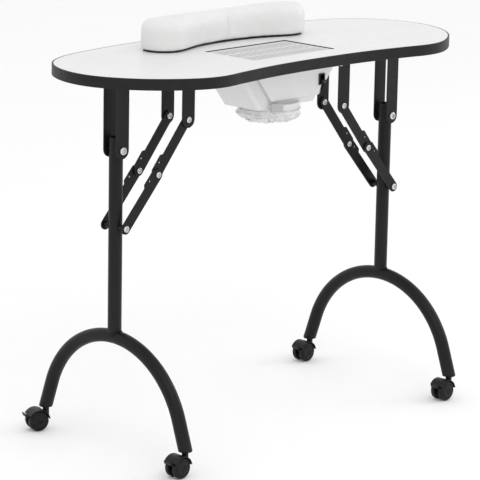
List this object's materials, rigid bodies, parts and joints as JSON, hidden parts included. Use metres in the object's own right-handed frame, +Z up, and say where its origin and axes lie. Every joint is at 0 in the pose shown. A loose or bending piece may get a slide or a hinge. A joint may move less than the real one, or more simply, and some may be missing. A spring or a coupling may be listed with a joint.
{
  "type": "manicure table",
  "caption": "Folding nail table: kidney-shaped top with dust collector and wrist cushion, on two arched castor legs that fold under it.",
  "frame": {"origin": "on the floor, under the middle of the top", "axes": "+X along the top from the left leg to the right leg, -Y towards the concave side, +Z up"},
  "size_m": [0.8998, 0.4092, 0.7586],
  "materials": {
    "white_laminate": "satin white laminate on fibreboard",
    "black_edge": "satin black edge banding",
    "grey_plastic": "satin light grey moulded plastic",
    "white_plastic": "semi-gloss white moulded plastic",
    "black_plastic": "satin black moulded plastic",
    "motor_metal": "zinc plated",
    "white_cloth": "thin white non-woven cloth with a gathered elastic hem",
    "white_vinyl": "smooth white artificial leather over foam",
    "black_steel": "satin black powder coat",
    "bright_steel": "bright zinc plate",
    "black_nylon": "satin black nylon"
  },
  "bodies": {
    "table": {"tabletop_board": "white_laminate", "edge_band": "black_edge", "grille_cover": "grey_plastic", "collector_housing": "white_plastic", "collector_front_panel": "white_plastic", "bag_collar_latch": "grey_plastic", "switch_bezel": "black_plastic", "power_inlet": "black_plastic", "fan_bracket": "motor_metal", "fan_motor": "motor_metal", "dust_bag": "white_cloth", "cushion_base": "black_plastic", "wrist_cushion": "white_vinyl", "left_hinge_bracket": "black_steel", "left_brace_bracket": "black_steel", "left_hinge_bolt": "bright_steel", "left_front_top_rivet": "bright_steel", "left_rear_top_rivet": "bright_steel", "right_hinge_bracket": "black_steel", "right_brace_bracket": "black_steel", "right_hinge_bolt": "bright_steel", "right_front_top_rivet": "bright_steel", "right_rear_top_rivet": "bright_steel"},
    "left_leg": {"left_leg_upright": "black_steel", "left_leg_arch": "black_steel", "left_cross_pin": "bright_steel", "front_left_castor_insert": "black_nylon", "rear_left_castor_insert": "black_nylon"},
    "left_upper_arms": {"left_front_upper_arm": "black_steel", "left_rear_upper_arm": "black_steel", "left_rear_middle_rivet": "bright_steel"},
    "left_lower_arms": {"left_front_lower_arm": "black_steel", "left_rear_lower_arm": "black_steel", "left_front_middle_rivet": "bright_steel"},
    "right_leg": {"right_leg_upright": "black_steel", "right_leg_arch": "black_steel", "right_cross_pin": "bright_steel", "front_right_castor_insert": "black_nylon", "rear_right_castor_insert": "black_nylon"},
    "right_upper_arms": {"right_front_upper_arm": "black_steel", "right_rear_upper_arm": "black_steel", "right_rear_middle_rivet": "bright_steel"},
    "right_lower_arms": {"right_front_lower_arm": "black_steel", "right_rear_lower_arm": "black_steel", "right_front_middle_rivet": "bright_steel"},
    "front_left_castor": {"front_left_castor_hood": "black_nylon"},
    "front_left_wheels": {"front_left_castor_wheels": "black_nylon"},
    "front_left_brake": {"front_left_castor_brake": "black_nylon"},
    "front_right_castor": {"front_right_castor_hood": "black_nylon"},
    "front_right_wheels": {"front_right_castor_wheels": "black_nylon"},
    "front_right_brake": {"front_right_castor_brake": "black_nylon"},
    "rear_left_castor": {"rear_left_castor_hood": "black_nylon"},
    "rear_left_wheels": {"rear_left_castor_wheels": "black_nylon"},
    "rear_left_brake": {"rear_left_castor_brake": "black_nylon"},
    "rear_right_castor": {"rear_right_castor_hood": "black_nylon"},
    "rear_right_wheels": {"rear_right_castor_wheels": "black_nylon"},
    "rear_right_brake": {"rear_right_castor_brake": "black_nylon"},
    "switch": {"switch_rocker": "black_plastic"},
    "impeller": {"fan_impeller": "black_plastic"}
  },
  "joints": [
    {"name": "left_leg_fold", "type": "hinge", "parent": "table", "child": "left_leg", "pos_m": [-0.3557, 0, 0.554], "axis": [0, -1, 0], "range_deg": [0, 90]},
    {"name": "left_upper_arm_fold", "type": "hinge", "parent": "table", "child": "left_upper_arms", "pos_m": [-0.2051, 0, 0.5929], "axis": [0, -1, 0], "range_deg": [-60, 0]},
    {"name": "left_lower_arm_fold", "type": "hinge", "parent": "left_leg", "child": "left_lower_arms", "pos_m": [-0.3557, 0, 0.4153], "axis": [0, -1, 0], "range_deg": [0, 18]},
    {"name": "right_leg_fold", "type": "hinge", "parent": "table", "child": "right_leg", "pos_m": [0.3557, 0, 0.5307], "axis": [0, 1, 0], "range_deg": [0, 88.5]},
    {"name": "right_upper_arm_fold", "type": "hinge", "parent": "table", "child": "right_upper_arms", "pos_m": [0.2051, 0, 0.5696], "axis": [0, 1, 0], "range_deg": [-60, 0]},
    {"name": "right_lower_arm_fold", "type": "hinge", "parent": "right_leg", "child": "right_lower_arms", "pos_m": [0.3557, 0, 0.392], "axis": [0, 1, 0], "range_deg": [0, 18]},
    {"name": "front_left_swivel", "type": "hinge", "parent": "left_leg", "child": "front_left_castor", "pos_m": [-0.3557, -0.1841, 0.045], "axis": [0, 0, 1], "continuous": true},
    {"name": "front_left_roll", "type": "hinge", "parent": "front_left_castor", "child": "front_left_wheels", "pos_m": [-0.3737, -0.1841, 0.019], "axis": [0, 1, 0], "continuous": true},
    {"name": "front_left_brake_press", "type": "hinge", "parent": "front_left_castor", "child": "front_left_brake", "pos_m": [-0.39228, -0.1841, 0.02766], "axis": [0, -1, 0], "range_deg": [0, 20]},
    {"name": "front_right_swivel", "type": "hinge", "parent": "right_leg", "child": "front_right_castor", "pos_m": [0.3557, -0.1841, 0.045], "axis": [0, 0, 1], "continuous": true},
    {"name": "front_right_roll", "type": "hinge", "parent": "front_right_castor", "child": "front_right_wheels", "pos_m": [0.3377, -0.1841, 0.019], "axis": [0, 1, 0], "continuous": true},
    {"name": "front_right_brake_press", "type": "hinge", "parent": "front_right_castor", "child": "front_right_brake", "pos_m": [0.31912, -0.1841, 0.02766], "axis": [0, -1, 0], "range_deg": [0, 20]},
    {"name": "rear_left_swivel", "type": "hinge", "parent": "left_leg", "child": "rear_left_castor", "pos_m": [-0.3557, 0.1841, 0.045], "axis": [0, 0, 1], "continuous": true},
    {"name": "rear_left_roll", "type": "hinge", "parent": "rear_left_castor", "child": "rear_left_wheels", "pos_m": [-0.37272, 0.18996, 0.019], "axis": [0.3256, 0.9455, 0], "continuous": true},
    {"name": "rear_left_brake_press", "type": "hinge", "parent": "rear_left_castor", "child": "rear_left_brake", "pos_m": [-0.39029, 0.19601, 0.02766], "axis": [-0.3256, -0.9455, 0], "range_deg": [0, 20]},
    {"name": "rear_right_swivel", "type": "hinge", "parent": "right_leg", "child": "rear_right_castor", "pos_m": [0.3557, 0.1841, 0.045], "axis": [0, 0, 1], "continuous": true},
    {"name": "rear_right_roll", "type": "hinge", "parent": "rear_right_castor", "child": "rear_right_wheels", "pos_m": [0.3377, 0.1841, 0.019], "axis": [0, 1, 0], "continuous": true},
    {"name": "rear_right_brake_press", "type": "hinge", "parent": "rear_right_castor", "child": "rear_right_brake", "pos_m": [0.31912, 0.1841, 0.02766], "axis": [0, -1, 0], "range_deg": [0, 20]},
    {"name": "switch_rock", "type": "hinge", "parent": "table", "child": "switch", "pos_m": [0.0782, -0.0878, 0.643], "axis": [1, 0, 0], "range_deg": [-16, 0]},
    {"name": "impeller_spin", "type": "hinge", "parent": "table", "child": "impeller", "pos_m": [-0.012, -0.04, 0.6386], "axis": [0, 0, 1], "continuous": true}
  ],
  "couplings": [
    {"joint": "left_upper_arm_fold", "follows": "left_leg_fold", "ratio": -0.6448},
    {"joint": "left_lower_arm_fold", "follows": "left_leg_fold", "ratio": 0.1623},
    {"joint": "right_upper_arm_fold", "follows": "right_leg_fold", "ratio": -0.63094},
    {"joint": "right_lower_arm_fold", "follows": "right_leg_fold", "ratio": 0.18701}
  ]
}
